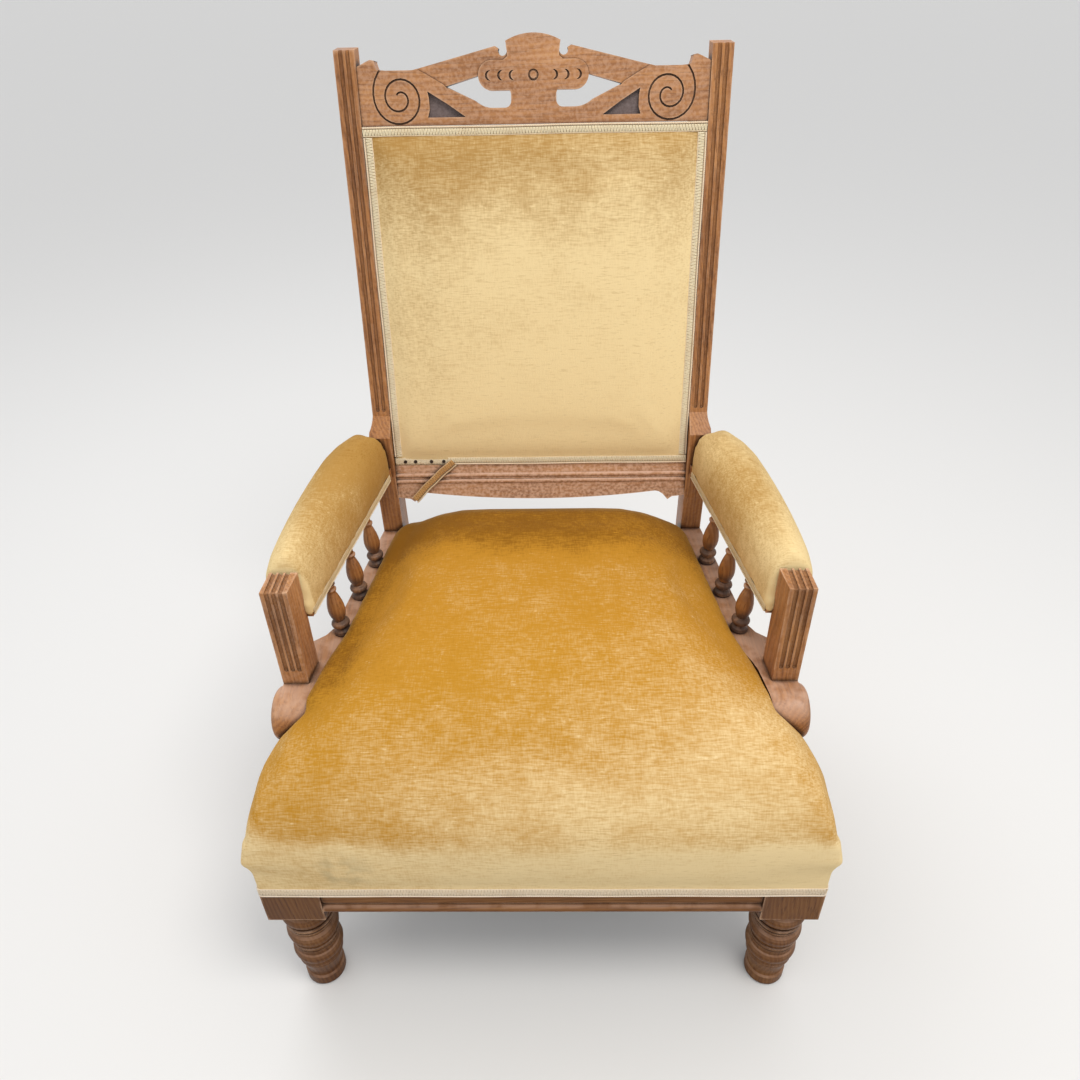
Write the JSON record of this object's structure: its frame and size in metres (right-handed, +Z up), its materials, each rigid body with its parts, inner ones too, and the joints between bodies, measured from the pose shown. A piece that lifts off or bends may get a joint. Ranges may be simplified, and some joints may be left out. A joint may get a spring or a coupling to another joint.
{
  "type": "parlour armchair",
  "caption": "Oak show-wood parlour armchair with carved crest, stuffed back panel, sprung domed seat, padded arms on square posts and turned spindles, and ring-turned front legs.",
  "frame": {"origin": "on the floor, below the middle of the chair's width and depth", "axes": "+Z up, the front faces -Y, +X is to the right as seen from in front"},
  "size_m": [0.652, 0.5834, 1.0172],
  "materials": {
    "oak": "mid-brown oak, waxed, with worn edges",
    "inner_wood": "bare sawn softwood",
    "velvet": "gold cotton velvet, short pile",
    "gimp": "cream woven gimp",
    "hessian": "plain jute",
    "dust_cover": "black cotton cloth",
    "steel": "dull coppered and blued steel",
    "tacks": "blued black"
  },
  "bodies": {
    "root": {"rear_post_left": "oak", "rear_post_right": "oak", "crest_rail": "oak", "back_lower_rail": "oak", "back_tacking_strip_left": "inner_wood", "back_tacking_strip_right": "inner_wood", "back_webbing": "hessian", "back_hessian": "hessian", "back_pad": "velvet", "back_gimp_top": "gimp", "back_gimp_left": "gimp", "back_gimp_right": "gimp", "back_gimp_bottom": "gimp", "back_gimp_loose_end": "gimp", "back_tacks": "tacks", "back_outside_cover": "velvet", "back_outside_gimp": "gimp", "front_leg_left": "oak", "front_leg_right": "oak", "seat_rail_front": "oak", "seat_rail_left": "oak", "seat_rail_right": "oak", "seat_rail_back": "inner_wood", "corner_blocks": "inner_wood", "corner_screws": "steel", "seat_webbing": "hessian", "seat_springs": "steel", "seat_hessian": "hessian", "seat_pad": "velvet", "seat_front_border": "velvet", "seat_side_left": "velvet", "seat_side_right": "velvet", "seat_gimp": "gimp", "seat_dust_cover": "dust_cover", "arm_riser_left": "inner_wood", "arm_riser_right": "inner_wood", "arm_base_rail_left": "oak", "arm_base_rail_right": "oak", "arm_post_left": "oak", "arm_post_right": "oak", "spindle_left_front": "oak", "spindle_left_middle": "oak", "spindle_left_rear": "oak", "spindle_right_front": "oak", "spindle_right_middle": "oak", "spindle_right_rear": "oak", "arm_rail_left": "oak", "arm_rail_right": "oak", "arm_pad_left": "velvet", "arm_pad_right": "velvet", "arm_gimp_left": "gimp", "arm_gimp_right": "gimp"}
  },
  "joints": []
}
